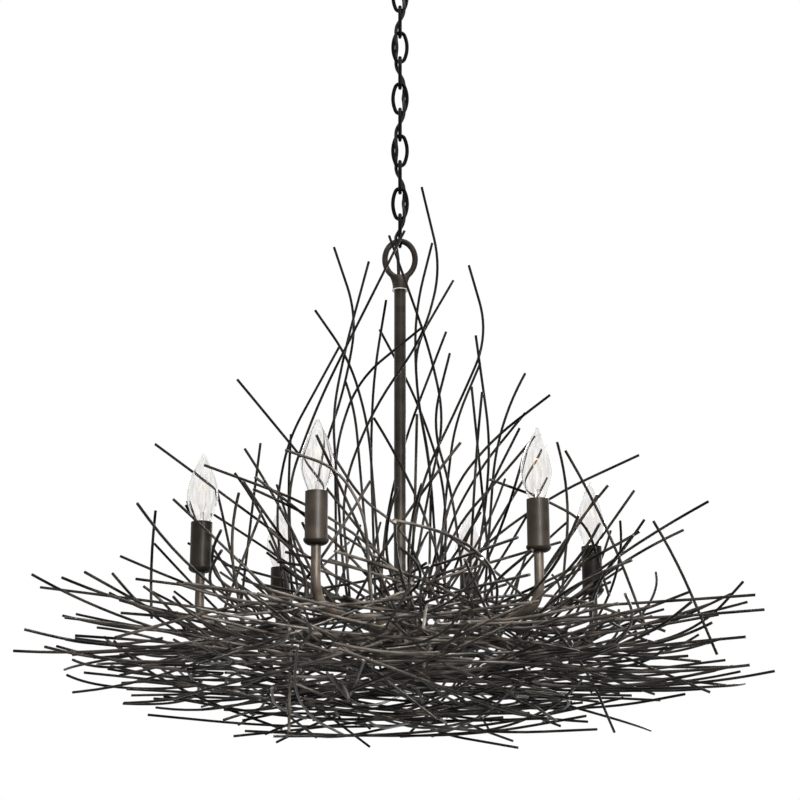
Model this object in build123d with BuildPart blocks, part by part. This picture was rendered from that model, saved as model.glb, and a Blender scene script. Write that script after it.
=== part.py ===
"""Chandelier made as a nest of bent steel wires round six candle lamps, hung on a chain from a canopy.

Millimetres. The origin is the centre of the canopy's rim on the ceiling, and Z points up, so everything
hangs below 0. Depth is along Y, and the front that faces the viewer looks along -Y.
"""

import math
import os

import numpy as np
from build123d import *
from scipy.spatial import cKDTree

os.makedirs("parts", exist_ok=True)

# A cylinder or cone that stands on its foot
STANDING = (Align.CENTER, Align.CENTER, Align.MIN)

# Clearances
RUNNING_GAP = 0.3
FIT_GAP = 0.1

# Ceiling fitting
CANOPY_DIAMETER = 127.0
CANOPY_HEIGHT = 32.0
CANOPY_WALL = 1.2
CANOPY_RIM_HEIGHT = 5.0
CANOPY_CROWN_DIAMETER = 34.0
STRAP_LENGTH = 100.0
STRAP_WIDTH = 20.0
STRAP_THICKNESS = 2.5
STRAP_SLOT_SPACING = 70.0
STRAP_SLOT_LENGTH = 16.0
STRAP_SLOT_WIDTH = 5.2
NIPPLE_DIAMETER = 9.6
NIPPLE_BORE = 6.5
NIPPLE_NUT_WIDTH = 15.0
NIPPLE_NUT_HEIGHT = 4.0
COLLAR_DIAMETER = 24.0
COLLAR_HEIGHT = 9.0

# Cast loops that hold the chain
LOOP_BAR = 6.4
LOOP_INNER_WIDTH = 26.5
LOOP_INNER_LENGTH = 36.0
LOOP_NECK_DIAMETER = 16.0
LOOP_NECK_FOOT = 3.0
LOOP_NECK_SPREAD = 24.0
LOOP_NECK_EDGE = 8.0
LOOP_NECK_LENGTH = 14.0
LOOP_THREAD_DEPTH = 8.0

# Chain and cord
LINK_COUNT = 10
LINK_WIRE = 4.2
LINK_INNER_LENGTH = 32.0
LINK_INNER_WIDTH = 11.5
LINK_END_RADIUS = 5.4
CORD_DIAMETER = 4.0

# Stem and hub
STEM_DIAMETER = 12.7
STEM_BORE = 9.5
WASHER_DIAMETER = 17.5
WASHER_THICKNESS = 1.6
STEM_TOP_ABOVE_NEST = 381.5
HUB_WIDTH = 54.0
HUB_TOP_ABOVE_NEST = 16.0
HUB_BOTTOM_BELOW_NEST = 14.0
HUB_WALL = 5.0
HUB_FLAT_DEPTH = 2.0
HUB_COVER_THICKNESS = 3.0
CAP_NUT_DIAMETER = 18.0
CAP_NUT_HEIGHT = 12.0

# Lamps
LAMP_CIRCLE_RADIUS = 212.0
LAMP_ANGLES = (14.0, 68.0, 129.5, 198.0, 248.0, 309.0)
ARM_DIAMETER = 9.5
ARM_BORE = 7.1
ARM_BEND_RADIUS = 26.0
ARM_NUT_WIDTH = 15.0
ARM_NUT_HEIGHT = 4.0
CUP_FOOT_ABOVE_NEST = 57.0
CUP_FOOT_DIAMETER = 13.0
CUP_DIAMETER = 24.4
CUP_DOME_HEIGHT = 4.0
CUP_RIM_HEIGHT = 1.6
SLEEVE_DIAMETER = 22.0
SLEEVE_WALL = 1.1
SLEEVE_LENGTH = 47.5
SOCKET_DIAMETER = 17.0
SOCKET_BORE = 13.2
SOCKET_LENGTH = 41.0
SOCKET_FLOOR = 14.0
BULB_DIAMETER = 32.0
BULB_BELLY_SHARE = 0.44
BULB_SHOULDER_SHARE = 0.77
BULB_NECK_DIAMETER = 12.4
BULB_LENGTH = 78.0
BULB_WALL = 0.8
BULB_SEAT_BELOW_SLEEVE_TOP = 6.0
SCREW_BASE_DIAMETER = 11.9
SCREW_BASE_LENGTH = 18.0
SCREW_THREAD_PITCH = 2.5
BULB_LIFT = 30.0
LEAD_DIAMETER = 0.8

# Wire nest
WIRE_DIAMETER = 2.8
HOOP_DIAMETER = 4.8
INNER_HOOP_RADIUS = 105.0
OUTER_HOOP_RADIUS = 176.0
NEST_RADIUS = 396.0
MOUND_HEIGHT = 46.0
BOWL_DEPTH = 74.0
SAMPLE_STEP = 1.5
WELD_SLACK = 0.05
SEED = 11

# The front wires are laid out as seen from slightly below, so one that stands nearer also stands lower
SIGHT_RISE = 0.27
EYE_DISTANCE = 2100.0


def save(shape, name):
    shape.label = name
    export_step(shape, f"parts/{name}.step")


def unit(vector):
    return vector / np.linalg.norm(vector)


def oval_link():
    """Wire bent into an upright oval in the XZ plane, with round ends and gently bowed sides."""
    half_width = (LINK_INNER_WIDTH + LINK_WIRE) / 2
    half_length = (LINK_INNER_LENGTH + LINK_WIRE) / 2
    end_centre = half_length - LINK_END_RADIUS
    narrowing = half_width - LINK_END_RADIUS
    side_radius = (half_width**2 + end_centre**2 - LINK_END_RADIUS**2) / (2 * narrowing)
    reach = LINK_END_RADIUS / (side_radius - LINK_END_RADIUS)
    x = reach * (side_radius - half_width)
    z = end_centre * (1 + reach)
    with BuildPart() as link:
        with BuildLine(Plane.XZ) as path:
            side = ThreePointArc((x, -z), (half_width, 0), (x, z))
            ThreePointArc((x, z), (0, half_length), (-x, z))
            ThreePointArc((-x, z), (-half_width, 0), (-x, -z))
            ThreePointArc((-x, -z), (0, -half_length), (x, -z))
        with BuildSketch(Plane(side @ 0, z_dir=side % 0)):
            Circle(LINK_WIRE / 2)
        sweep(path=path.wires()[0])
    return link.part


def cast_loop():
    """Elliptical ring on a bored neck that stands on z = 0 and spreads into the ring above it."""
    ring_centre = LOOP_NECK_LENGTH - LOOP_BAR / 2 + LOOP_INNER_LENGTH / 2 + LOOP_BAR
    neck_top = ring_centre - LOOP_INNER_LENGTH / 2 - 0.7
    half_width = (LOOP_INNER_WIDTH + LOOP_BAR) / 2
    half_length = (LOOP_INNER_LENGTH + LOOP_BAR) / 2
    with BuildPart() as loop:
        with BuildLine(Plane.XZ) as ring_path:
            for start_angle in (0, 180):
                EllipticalCenterArc((0, ring_centre), half_width, half_length, start_angle, arc_size=180)
        with BuildSketch(Plane(ring_path.line @ 0, z_dir=ring_path.line % 0)):
            Circle(LOOP_BAR / 2)
        sweep(path=ring_path.wires()[0])
        Cylinder(LOOP_NECK_DIAMETER / 2, LOOP_NECK_FOOT, align=STANDING)
        with BuildSketch(Plane.XY.offset(LOOP_NECK_FOOT)):
            Circle(LOOP_NECK_DIAMETER / 2)
        with BuildSketch(Plane.XY.offset(LOOP_NECK_LENGTH * 0.7)):
            Ellipse(LOOP_NECK_DIAMETER * 0.57, LOOP_NECK_DIAMETER * 0.4)
        with BuildSketch(Plane.XY.offset(neck_top)):
            Ellipse(LOOP_NECK_SPREAD / 2, LOOP_NECK_EDGE / 2)
        loft()
        Cylinder(NIPPLE_BORE / 2, neck_top + 3, align=STANDING, mode=Mode.SUBTRACT)
        Cylinder(NIPPLE_DIAMETER / 2 + FIT_GAP, LOOP_THREAD_DEPTH, align=STANDING, mode=Mode.SUBTRACT)
    return loop.part


# Levels that follow from the sizes above
LOOP_BAR_HEIGHT = LOOP_NECK_LENGTH + LOOP_INNER_LENGTH + LOOP_BAR
COLLAR_BOTTOM = -CANOPY_HEIGHT - COLLAR_HEIGHT
CANOPY_BAR_Z = COLLAR_BOTTOM - LOOP_BAR_HEIGHT
BAR_TO_LINK = (LOOP_BAR + LINK_WIRE) / 2 + RUNNING_GAP
LINK_HEIGHT = LINK_INNER_LENGTH + LINK_WIRE
LINK_PITCH = LINK_INNER_LENGTH - RUNNING_GAP
FIRST_LINK_TOP_Z = CANOPY_BAR_Z + BAR_TO_LINK
LAST_LINK_BOTTOM_Z = FIRST_LINK_TOP_Z - (LINK_COUNT - 1) * LINK_PITCH - LINK_HEIGHT
FIXTURE_BAR_Z = LAST_LINK_BOTTOM_Z + BAR_TO_LINK
NECK_FOOT_Z = FIXTURE_BAR_Z - LOOP_BAR_HEIGHT
STEM_TOP_Z = NECK_FOOT_Z - WASHER_THICKNESS
NEST_Z = STEM_TOP_Z - STEM_TOP_ABOVE_NEST
HUB_TOP_Z = NEST_Z + HUB_TOP_ABOVE_NEST
HUB_BOTTOM_Z = NEST_Z - HUB_BOTTOM_BELOW_NEST
CUP_FOOT_Z = NEST_Z + CUP_FOOT_ABOVE_NEST
SLEEVE_FOOT_Z = CUP_FOOT_Z + CUP_DOME_HEIGHT
SLEEVE_TOP_Z = SLEEVE_FOOT_Z + SLEEVE_LENGTH
GLASS_FOOT_Z = SLEEVE_TOP_Z - BULB_SEAT_BELOW_SLEEVE_TOP
BULB_TIP_Z = GLASS_FOOT_Z + BULB_LENGTH

LAMP_PLACES = [
    (LAMP_CIRCLE_RADIUS * math.cos(math.radians(a)), LAMP_CIRCLE_RADIUS * math.sin(math.radians(a)))
    for a in LAMP_ANGLES
]

# Mounting strap: flat bar with two screw slots and a tapped middle hole
with BuildPart() as mounting_strap:
    with BuildSketch(Plane.XY.offset(-STRAP_THICKNESS)):
        RectangleRounded(STRAP_LENGTH, STRAP_WIDTH, 4)
        with Locations((-STRAP_SLOT_SPACING / 2, 0), (STRAP_SLOT_SPACING / 2, 0)):
            SlotOverall(STRAP_SLOT_LENGTH, STRAP_SLOT_WIDTH, mode=Mode.SUBTRACT)
        Circle(NIPPLE_DIAMETER / 2 + FIT_GAP, mode=Mode.SUBTRACT)
    extrude(amount=STRAP_THICKNESS)
save(mounting_strap.part, "mounting_strap")

# Threaded nipple: runs from the strap through the canopy into the canopy loop
NIPPLE_FOOT_Z = COLLAR_BOTTOM - LOOP_THREAD_DEPTH + 1
with BuildPart() as threaded_nipple:
    with BuildSketch(Plane.XY.offset(NIPPLE_FOOT_Z)):
        Circle(NIPPLE_DIAMETER / 2)
        Circle(NIPPLE_BORE / 2, mode=Mode.SUBTRACT)
    extrude(amount=-NIPPLE_FOOT_Z)
save(threaded_nipple.part, "threaded_nipple")

# Lock nut under the strap
with BuildPart() as nipple_lock_nut:
    with BuildSketch(Plane.XY.offset(-STRAP_THICKNESS - NIPPLE_NUT_HEIGHT)):
        RegularPolygon(NIPPLE_NUT_WIDTH / 2, 6, major_radius=False)
        Circle(NIPPLE_DIAMETER / 2 + FIT_GAP, mode=Mode.SUBTRACT)
    extrude(amount=NIPPLE_NUT_HEIGHT)
save(nipple_lock_nut.part, "nipple_lock_nut")

# Ceiling canopy: spun dish with an upright rim and a flat crown that the collar bears on
with BuildPart() as ceiling_canopy:
    with BuildSketch(Plane.XZ):
        with BuildLine():
            rim = CANOPY_DIAMETER / 2
            crown = CANOPY_CROWN_DIAMETER / 2
            shoulder = (rim - 6, -CANOPY_RIM_HEIGHT - 6)
            Polyline((0, 0), (rim, 0), (rim, -CANOPY_RIM_HEIGHT))
            Line((rim, -CANOPY_RIM_HEIGHT), shoulder)
            Spline(shoulder, (crown, -CANOPY_HEIGHT), tangents=((-0.2, -1), (-1, 0)))
            Polyline((crown, -CANOPY_HEIGHT), (0, -CANOPY_HEIGHT), (0, 0))
        make_face()
    revolve(axis=Axis.Z)
    ceiling_face = ceiling_canopy.faces().sort_by(Axis.Z)[-1]
    offset(amount=-CANOPY_WALL, openings=ceiling_face)
    with Locations((0, 0, -CANOPY_HEIGHT)):
        Cylinder(NIPPLE_DIAMETER / 2 + FIT_GAP, 4 * CANOPY_WALL, mode=Mode.SUBTRACT)
save(ceiling_canopy.part, "ceiling_canopy")

# Canopy collar: knurled ring between the canopy and its loop
with BuildPart() as canopy_collar:
    with BuildSketch(Plane.XY.offset(COLLAR_BOTTOM)):
        Circle(COLLAR_DIAMETER / 2)
        Circle(NIPPLE_DIAMETER / 2 + FIT_GAP, mode=Mode.SUBTRACT)
    extrude(amount=COLLAR_HEIGHT)
    fillet(canopy_collar.edges().filter_by(GeomType.CIRCLE).sort_by(SortBy.RADIUS)[-2:], 2)
save(canopy_collar.part, "canopy_collar")

# Loops: the canopy's hangs neck up in the YZ plane, the fixture's stands neck down in the XZ plane
loop_body = cast_loop()
save(Pos(0, 0, COLLAR_BOTTOM) * Rot(0, 0, 90) * Rot(180, 0, 0) * loop_body, "canopy_loop")
save(Pos(0, 0, NECK_FOOT_Z) * loop_body, "fixture_loop")

# Chain: every second link is turned a quarter, the top one lies in the XZ plane
link_body = oval_link()
LINK_MIDDLES = [FIRST_LINK_TOP_Z - LINK_HEIGHT / 2 - index * LINK_PITCH for index in range(LINK_COUNT)]
for index, middle in enumerate(LINK_MIDDLES):
    save(Pos(0, 0, middle) * Rot(0, 0, 90 * (index % 2)) * link_body, f"chain_link_{index + 1:02d}")

# Supply cord: woven through each link in turn, from the nipple down to the hub
clear_of_link = (LINK_WIRE + CORD_DIAMETER) / 2 + RUNNING_GAP + 0.2
clear_of_bar = (LOOP_BAR + CORD_DIAMETER) / 2 + RUNNING_GAP + 0.2
inside_link = (LINK_INNER_WIDTH - CORD_DIAMETER) / 2 - RUNNING_GAP - 0.2
crossing = LINK_INNER_LENGTH / 2 - LINK_WIRE - CORD_DIAMETER / 2 - 1.0
side_x, side_y = 1, 1
cord_points = [(0, 0, -1.0), (0, 0, COLLAR_BOTTOM - LOOP_NECK_LENGTH - 6)]
cord_points.append((clear_of_bar, clear_of_link, CANOPY_BAR_Z + 6))
cord_points.append((clear_of_bar, clear_of_link, CANOPY_BAR_Z - 1))
for index, middle in enumerate(LINK_MIDDLES):
    cord_points.append((clear_of_link * side_x, clear_of_link * side_y, middle + crossing))
    if index % 2 == 0:
        cord_points.append((inside_link * side_x, 0, middle))
        side_y = -side_y
    else:
        cord_points.append((0, inside_link * side_y, middle))
        side_x = -side_x
    cord_points.append((clear_of_link * side_x, clear_of_link * side_y, middle - crossing))
cord_points.append((clear_of_link * side_x, clear_of_bar * side_y, FIXTURE_BAR_Z + 1))
cord_points.append((clear_of_link * side_x, clear_of_bar * side_y, FIXTURE_BAR_Z - 6))
cord_points.append((0, 0, NECK_FOOT_Z + LOOP_NECK_LENGTH + 8))
cord_points.append((0, 0, HUB_TOP_Z - 8))


def bend_radii(points):
    """Largest bend at each inner point that leaves its neighbours' straight runs free."""
    steps = np.diff(points, axis=0)
    lengths = np.linalg.norm(steps, axis=1)
    last = len(lengths) - 1
    radii = []
    for corner in range(last):
        share_before = 0.9 if corner == 0 else 0.45
        share_after = 0.9 if corner + 1 == last else 0.45
        room = min(share_before * lengths[corner], share_after * lengths[corner + 1])
        cosine = np.dot(steps[corner], steps[corner + 1]) / (lengths[corner] * lengths[corner + 1])
        turn = math.acos(max(-1.0, min(1.0, cosine)))
        radii.append(room / math.tan(max(turn, 0.004) / 2))
    return radii


def round_bar(points, diameter):
    """Round bar that follows straight runs joined by tangent bends."""
    with BuildPart() as bar:
        with BuildLine() as path:
            FilletPolyline(*[tuple(point) for point in points], radius=bend_radii(points))
        with BuildSketch(Plane(path.line @ 0, z_dir=path.line % 0)):
            Circle(diameter / 2)
        sweep(path=path.wires()[0])
    return bar.part


cord_points = np.array(cord_points, dtype=float)
supply_cord = round_bar(cord_points, CORD_DIAMETER)
save(supply_cord, "supply_cord")
print("cord bend radii", [round(float(radius), 1) for radius in bend_radii(cord_points)])
print("cord length by volume", round(supply_cord.volume / (math.pi * CORD_DIAMETER**2 / 4), 1))

# Stem: bright washer under the loop's neck, then the tube down to the hub
with BuildPart() as stem_washer:
    with BuildSketch(Plane.XY.offset(STEM_TOP_Z)):
        Circle(WASHER_DIAMETER / 2)
        Circle(NIPPLE_DIAMETER / 2, mode=Mode.SUBTRACT)
    extrude(amount=WASHER_THICKNESS)
    chamfer(stem_washer.edges().filter_by(GeomType.CIRCLE).sort_by(SortBy.RADIUS)[-2:], 0.4)
save(stem_washer.part, "stem_washer")

with BuildPart() as stem_tube:
    with BuildSketch(Plane.XY.offset(HUB_TOP_Z)):
        Circle(STEM_DIAMETER / 2)
        Circle(STEM_BORE / 2, mode=Mode.SUBTRACT)
    extrude(amount=STEM_TOP_Z - HUB_TOP_Z)
save(stem_tube.part, "stem_tube")

# Hub: hollow round body with a flat and a hole for each arm, open below under its cover
with BuildPart() as hub_body:
    with BuildSketch(Plane.XY.offset(HUB_BOTTOM_Z)):
        Circle(HUB_WIDTH / 2 + HUB_FLAT_DEPTH)
    extrude(amount=HUB_TOP_Z - HUB_BOTTOM_Z)
    for angle in LAMP_ANGLES:
        with Locations(Pos(0, 0, NEST_Z) * Rot(0, 0, angle) * Pos(HUB_WIDTH / 2, 0, 0)):
            beyond_flat = (Align.MIN, Align.CENTER, Align.CENTER)
            Box(HUB_WIDTH, HUB_WIDTH, HUB_WIDTH, align=beyond_flat, mode=Mode.SUBTRACT)
    with BuildSketch(Plane.XY.offset(HUB_BOTTOM_Z)):
        Circle(HUB_WIDTH / 2 - HUB_WALL)
    extrude(amount=HUB_TOP_Z - HUB_BOTTOM_Z - HUB_WALL, mode=Mode.SUBTRACT)
    with Locations((0, 0, HUB_TOP_Z)):
        Cylinder(STEM_BORE / 2, 3 * HUB_WALL, mode=Mode.SUBTRACT)
    for angle in LAMP_ANGLES:
        with Locations(Pos(0, 0, NEST_Z) * Rot(0, 0, angle) * Pos(HUB_WIDTH / 2, 0, 0) * Rot(0, 90, 0)):
            Cylinder(ARM_DIAMETER / 2 + FIT_GAP, 3 * HUB_WALL, mode=Mode.SUBTRACT)
save(hub_body.part, "hub_body")

with BuildPart() as hub_cover:
    with BuildSketch(Plane.XY.offset(HUB_BOTTOM_Z - HUB_COVER_THICKNESS)):
        Circle(HUB_WIDTH / 2)
        Circle(NIPPLE_DIAMETER / 4, mode=Mode.SUBTRACT)
    extrude(amount=HUB_COVER_THICKNESS)
    chamfer(hub_cover.faces().sort_by(Axis.Z)[0].outer_wire().edges(), 1)
save(hub_cover.part, "hub_cover")

# Cap nut: turned knob under the cover, with the stud that holds it to the hub
with BuildPart() as hub_cap_nut:
    with Locations((0, 0, HUB_BOTTOM_Z - HUB_COVER_THICKNESS)):
        Cylinder(CAP_NUT_DIAMETER / 2, CAP_NUT_HEIGHT, align=(Align.CENTER, Align.CENTER, Align.MAX))
        Cylinder(NIPPLE_DIAMETER / 4 - FIT_GAP, HUB_COVER_THICKNESS + 2, align=STANDING)
    fillet(hub_cap_nut.faces().sort_by(Axis.Z)[0].edges(), CAP_NUT_HEIGHT / 2)
save(hub_cap_nut.part, "hub_cap_nut")

# Lamp arms: tubes that run out level from the hub and bend up to the candle cups
ARM_START = HUB_WIDTH / 2 - HUB_WALL
arm_bend = (LAMP_CIRCLE_RADIUS, 0, NEST_Z)
arm_points = np.array([(ARM_START, 0, NEST_Z), arm_bend, (LAMP_CIRCLE_RADIUS, 0, CUP_FOOT_Z)], dtype=float)
with BuildPart() as lamp_arm:
    with BuildLine() as arm_path:
        FilletPolyline(*[tuple(point) for point in arm_points], radius=ARM_BEND_RADIUS)
    with BuildSketch(Plane(arm_path.line @ 0, z_dir=arm_path.line % 0)):
        Circle(ARM_DIAMETER / 2)
        Circle(ARM_BORE / 2, mode=Mode.SUBTRACT)
    sweep(path=arm_path.wires()[0])

with BuildPart() as arm_nut:
    with BuildSketch(Plane.YZ.offset(HUB_WIDTH / 2)):
        with Locations((0, NEST_Z)):
            RegularPolygon(ARM_NUT_WIDTH / 2, 6, major_radius=False)
            Circle(ARM_DIAMETER / 2 + FIT_GAP, mode=Mode.SUBTRACT)
    extrude(amount=ARM_NUT_HEIGHT)

# Candle cup: turned saucer that closes the foot of the sleeve
with BuildPart() as candle_cup:
    with BuildSketch(Plane.XZ):
        with BuildLine():
            rim = CUP_DIAMETER / 2
            seat = SLEEVE_DIAMETER / 2 + FIT_GAP
            Polyline((0, CUP_FOOT_Z), (CUP_FOOT_DIAMETER / 2, CUP_FOOT_Z))
            ThreePointArc(
                (CUP_FOOT_DIAMETER / 2, CUP_FOOT_Z),
                (rim - 1.4, CUP_FOOT_Z + CUP_DOME_HEIGHT * 0.45),
                (rim, CUP_FOOT_Z + CUP_DOME_HEIGHT),
            )
            Polyline(
                (rim, CUP_FOOT_Z + CUP_DOME_HEIGHT),
                (rim, SLEEVE_FOOT_Z + CUP_RIM_HEIGHT),
                (seat, SLEEVE_FOOT_Z + CUP_RIM_HEIGHT),
                (seat, SLEEVE_FOOT_Z),
                (0, SLEEVE_FOOT_Z),
                (0, CUP_FOOT_Z),
            )
        make_face()
    revolve(axis=Axis.Z)
    with Locations((0, 0, CUP_FOOT_Z)):
        Cylinder(ARM_BORE / 2, 3 * CUP_DOME_HEIGHT, mode=Mode.SUBTRACT)

# Candle sleeve: plain tube that stands in the cup
with BuildPart() as candle_sleeve:
    with BuildSketch(Plane.XY.offset(SLEEVE_FOOT_Z)):
        Circle(SLEEVE_DIAMETER / 2)
        Circle(SLEEVE_DIAMETER / 2 - SLEEVE_WALL, mode=Mode.SUBTRACT)
    extrude(amount=SLEEVE_LENGTH)

# Lamp socket: bored body inside the sleeve that takes the bulb's screw base
with BuildPart() as lamp_socket:
    with Locations((0, 0, SLEEVE_FOOT_Z)):
        Cylinder(SOCKET_DIAMETER / 2, SOCKET_LENGTH, align=STANDING)
    with Locations((0, 0, SLEEVE_FOOT_Z + SOCKET_FLOOR)):
        Cylinder(SOCKET_BORE / 2, SOCKET_LENGTH, align=STANDING, mode=Mode.SUBTRACT)

for name, piece in {"lamp_arms": lamp_arm, "arm_nuts": arm_nut}.items():
    with BuildPart() as arm_group:
        with Locations(*[Rot(0, 0, angle) for angle in LAMP_ANGLES]):
            add(piece.part)
    save(arm_group.part, name)

lamp_pieces = {"candle_cups": candle_cup, "candle_sleeves": candle_sleeve, "lamp_sockets": lamp_socket}
for name, piece in lamp_pieces.items():
    with BuildPart() as lamp_group:
        with Locations(*[(x, y, 0) for x, y in LAMP_PLACES]):
            add(piece.part)
    save(lamp_group.part, name)

# Bulb: blown torpedo envelope on a screw base, with a glass mount and a hairpin filament inside
neck = BULB_NECK_DIAMETER / 2
belly = BULB_DIAMETER / 2


def envelope_half(wall):
    """Half section of the envelope, drawn in by the wall, with twice the wall left at the pointed tip."""
    tip = BULB_TIP_Z - 2 * wall
    Line((0, GLASS_FOOT_Z), (neck - wall, GLASS_FOOT_Z))
    Spline(
        (neck - wall, GLASS_FOOT_Z),
        (belly - wall, GLASS_FOOT_Z + BULB_LENGTH * BULB_BELLY_SHARE),
        (belly * 0.6 - wall * 1.2, GLASS_FOOT_Z + BULB_LENGTH * BULB_SHOULDER_SHARE),
        (belly * 0.17 - wall * 0.5, tip - 2.2 + wall),
        (0, tip),
        tangents=((0.3, 1), (-1, 0)),
    )
    Line((0, tip), (0, GLASS_FOOT_Z))


with BuildPart() as bulb_glass:
    with BuildSketch(Plane.XZ):
        with BuildLine():
            envelope_half(0)
        make_face()
        with BuildLine():
            envelope_half(BULB_WALL)
        make_face(mode=Mode.SUBTRACT)
    revolve(axis=Axis.Z)

with BuildPart() as bulb_base:
    base = SCREW_BASE_DIAMETER / 2
    groove = base - 0.6
    with BuildSketch(Plane.XZ):
        with BuildLine():
            turns = int(SCREW_BASE_LENGTH * 0.6 / SCREW_THREAD_PITCH)
            profile = [(0, GLASS_FOOT_Z), (base, GLASS_FOOT_Z)]
            level = GLASS_FOOT_Z - 3
            for turn in range(turns):
                profile.append((base, level))
                profile.append((groove, level - SCREW_THREAD_PITCH / 2))
                level -= SCREW_THREAD_PITCH
            profile.append((base, level))
            profile.append((base * 0.45, GLASS_FOOT_Z - SCREW_BASE_LENGTH))
            profile.append((0, GLASS_FOOT_Z - SCREW_BASE_LENGTH))
            Polyline(*profile, close=True)
        make_face()
    revolve(axis=Axis.Z)

filament_foot = GLASS_FOOT_Z + BULB_LENGTH * 0.28
filament_top = GLASS_FOOT_Z + BULB_LENGTH * 0.66
with BuildPart() as bulb_mount:
    with Locations((0, 0, GLASS_FOOT_Z)):
        Cone(neck - BULB_WALL - 0.6, 2.0, BULB_LENGTH * 0.2, align=STANDING)
    with BuildLine() as hairpin:
        FilletPolyline(
            (-1.2, 0, GLASS_FOOT_Z + BULB_LENGTH * 0.18),
            (-3.2, 0, filament_foot),
            (-2.0, 0, filament_top),
            (2.0, 0, filament_top),
            (3.2, 0, filament_foot),
            (1.2, 0, GLASS_FOOT_Z + BULB_LENGTH * 0.18),
            radius=1.6,
        )
    with BuildSketch(Plane(hairpin.line @ 0, z_dir=hairpin.line % 0)):
        Circle(LEAD_DIAMETER / 2)
    sweep(path=hairpin.wires()[0])

for index, (x, y) in enumerate(LAMP_PLACES):
    save(Pos(x, y, 0) * bulb_glass.part, f"bulb_{index + 1}_glass")
    save(Pos(x, y, 0) * bulb_base.part, f"bulb_{index + 1}_base")
    save(Pos(x, y, 0) * bulb_mount.part, f"bulb_{index + 1}_mount")

# Hoops: the inner one lies on the arms and the outer one hangs under them
hoop_rest = (ARM_DIAMETER + HOOP_DIAMETER) / 2 + FIT_GAP
HOOPS = {
    "inner_hoop": (INNER_HOOP_RADIUS, NEST_Z + hoop_rest),
    "outer_hoop": (OUTER_HOOP_RADIUS, NEST_Z - hoop_rest),
}
for name, (radius, level) in HOOPS.items():
    with BuildPart() as hoop:
        with Locations((0, 0, level)):
            Torus(radius, HOOP_DIAMETER / 2)
    save(hoop.part, name)

# Wire nest. A wire is laid near its place and then slid until it just meets a neighbour, where it is welded
rng = np.random.default_rng(SEED)
SIGHT = unit(np.array([0.0, 1.0, SIGHT_RISE]))
UPWARD = np.array([0.0, 0.0, 1.0])


def centre_line(points, radii):
    """Evenly spaced places along straight runs joined by bends."""
    places = []
    start = points[0]
    for corner, radius in zip(range(1, len(points) - 1), radii):
        ahead = unit(points[corner] - points[corner - 1])
        after = unit(points[corner + 1] - points[corner])
        turn = math.acos(max(-1.0, min(1.0, float(np.dot(ahead, after)))))
        cut = radius * math.tan(turn / 2)
        bend_start = points[corner] - ahead * cut
        inward = unit(after - ahead * np.dot(after, ahead) + 1e-12)
        count = max(2, math.ceil(np.linalg.norm(bend_start - start) / SAMPLE_STEP))
        places.append(start + np.linspace(0, 1, count, endpoint=False)[:, None] * (bend_start - start))
        count = max(2, math.ceil(radius * turn / SAMPLE_STEP))
        sweep_angle = np.linspace(0, turn, count, endpoint=False)[:, None]
        across = radius * (1 - np.cos(sweep_angle)) * inward
        places.append(bend_start + radius * np.sin(sweep_angle) * ahead + across)
        start = points[corner] + after * cut
    count = max(2, math.ceil(np.linalg.norm(points[-1] - start) / SAMPLE_STEP))
    places.append(start + np.linspace(0, 1, count + 1)[:, None] * (points[-1] - start))
    return np.vstack(places)


def ring_line(radius, level):
    angles = np.linspace(0, 2 * math.pi, int(2 * math.pi * radius / SAMPLE_STEP), endpoint=False)
    return np.column_stack([radius * np.cos(angles), radius * np.sin(angles), np.full(len(angles), level)])


placed_places = []
placed_radii = []
placed_weldable = []


def weldable(places):
    """True along a wire's flank, where a neighbour can be welded on, and false at its two cut ends."""
    flank = np.ones(len(places), dtype=bool)
    flank[:2] = False
    flank[-2:] = False
    return flank


def keep(places, radius):
    placed_places.append(places)
    placed_radii.append(np.full(len(places), radius))
    placed_weldable.append(weldable(places))


for radius, level in HOOPS.values():
    keep(ring_line(radius, level), HOOP_DIAMETER / 2)
arm_line = centre_line(arm_points, [ARM_BEND_RADIUS])
for angle in LAMP_ANGLES:
    cosine, sine = math.cos(math.radians(angle)), math.sin(math.radians(angle))
    turned = np.column_stack([arm_line[:, 0] * cosine, arm_line[:, 0] * sine, arm_line[:, 2]])
    keep(turned, ARM_DIAMETER / 2)
stem_levels = np.arange(HUB_TOP_Z, STEM_TOP_Z, SAMPLE_STEP)
keep(np.column_stack([np.zeros((len(stem_levels), 2)), stem_levels]), STEM_DIAMETER / 2)

# Spaces that stay free of wires: (x, y, radius, lowest, highest)
wire_room = WIRE_DIAMETER / 2 + RUNNING_GAP
hub_room = HUB_WIDTH / 2 + ARM_NUT_HEIGHT + wire_room + 4
cap_nut_bottom = HUB_BOTTOM_Z - HUB_COVER_THICKNESS - CAP_NUT_HEIGHT
lifted_tip = BULB_TIP_Z + BULB_LIFT
free_spaces = [
    (0, 0, hub_room, cap_nut_bottom - wire_room, HUB_TOP_Z + wire_room),
    (0, 0, WASHER_DIAMETER / 2 + wire_room, STEM_TOP_Z - wire_room, NECK_FOOT_Z + LOOP_NECK_LENGTH),
    (0, 0, LOOP_INNER_WIDTH / 2 + LOOP_BAR + wire_room, NECK_FOOT_Z + 6, 0),
]
for x, y in LAMP_PLACES:
    free_spaces.append((x, y, CUP_DIAMETER / 2 + wire_room, CUP_FOOT_Z - wire_room, SLEEVE_TOP_Z))
    free_spaces.append((x, y, belly + wire_room + 0.5, SLEEVE_TOP_Z - 4, lifted_tip + wire_room))


def blocked(places):
    for x, y, radius, lowest, highest in free_spaces:
        near = (places[:, 0] - x) ** 2 + (places[:, 1] - y) ** 2 < radius**2
        if np.any(near & (places[:, 2] > lowest) & (places[:, 2] < highest)):
            return True
    return np.hypot(places[:, 0], places[:, 1]).max() > NEST_RADIUS


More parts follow.
